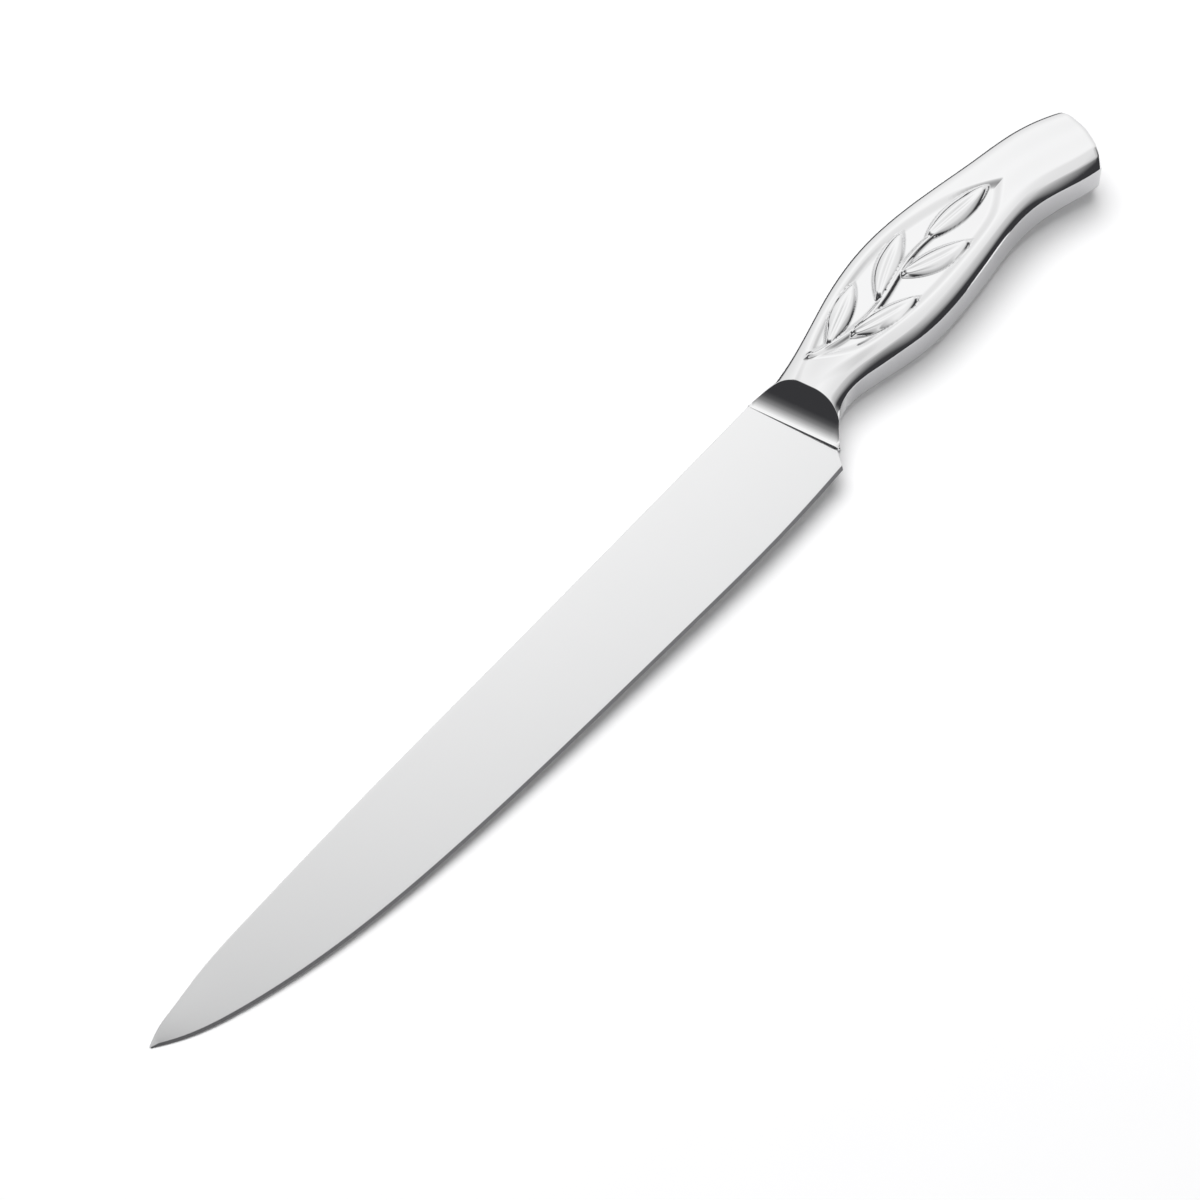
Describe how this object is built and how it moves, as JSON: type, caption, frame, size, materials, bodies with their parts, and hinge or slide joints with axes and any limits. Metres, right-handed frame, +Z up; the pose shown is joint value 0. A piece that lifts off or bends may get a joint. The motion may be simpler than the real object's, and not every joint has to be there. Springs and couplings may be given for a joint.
{
  "type": "carving knife",
  "caption": "Fixed-blade carving knife: long narrow ground blade with a heel, scalloped nose block and a hollow, S-curved polished steel handle.",
  "frame": {"origin": "under the middle of the knife's bounding box, level with the lowest point of the handle as the knife lies on its side", "axes": "+X from the blade's tip to the butt, +Y from the cutting edge to the spine, +Z up across the thickness, square to the blade's mid-plane"},
  "size_m": [0.3474, 0.038, 0.016],
  "materials": {
    "blade_steel": "fine satin, ground across the blade",
    "handle_steel": "mirror-polished stainless steel",
    "pin_steel": "plain turned",
    "resin": "cast filled resin"
  },
  "bodies": {
    "root": {"blade": "blade_steel", "bolster": "handle_steel", "handle_front_shell": "handle_steel", "handle_back_shell": "handle_steel", "tang_pin_front": "pin_steel", "tang_pin_rear": "pin_steel", "tang_potting": "resin"}
  },
  "joints": []
}
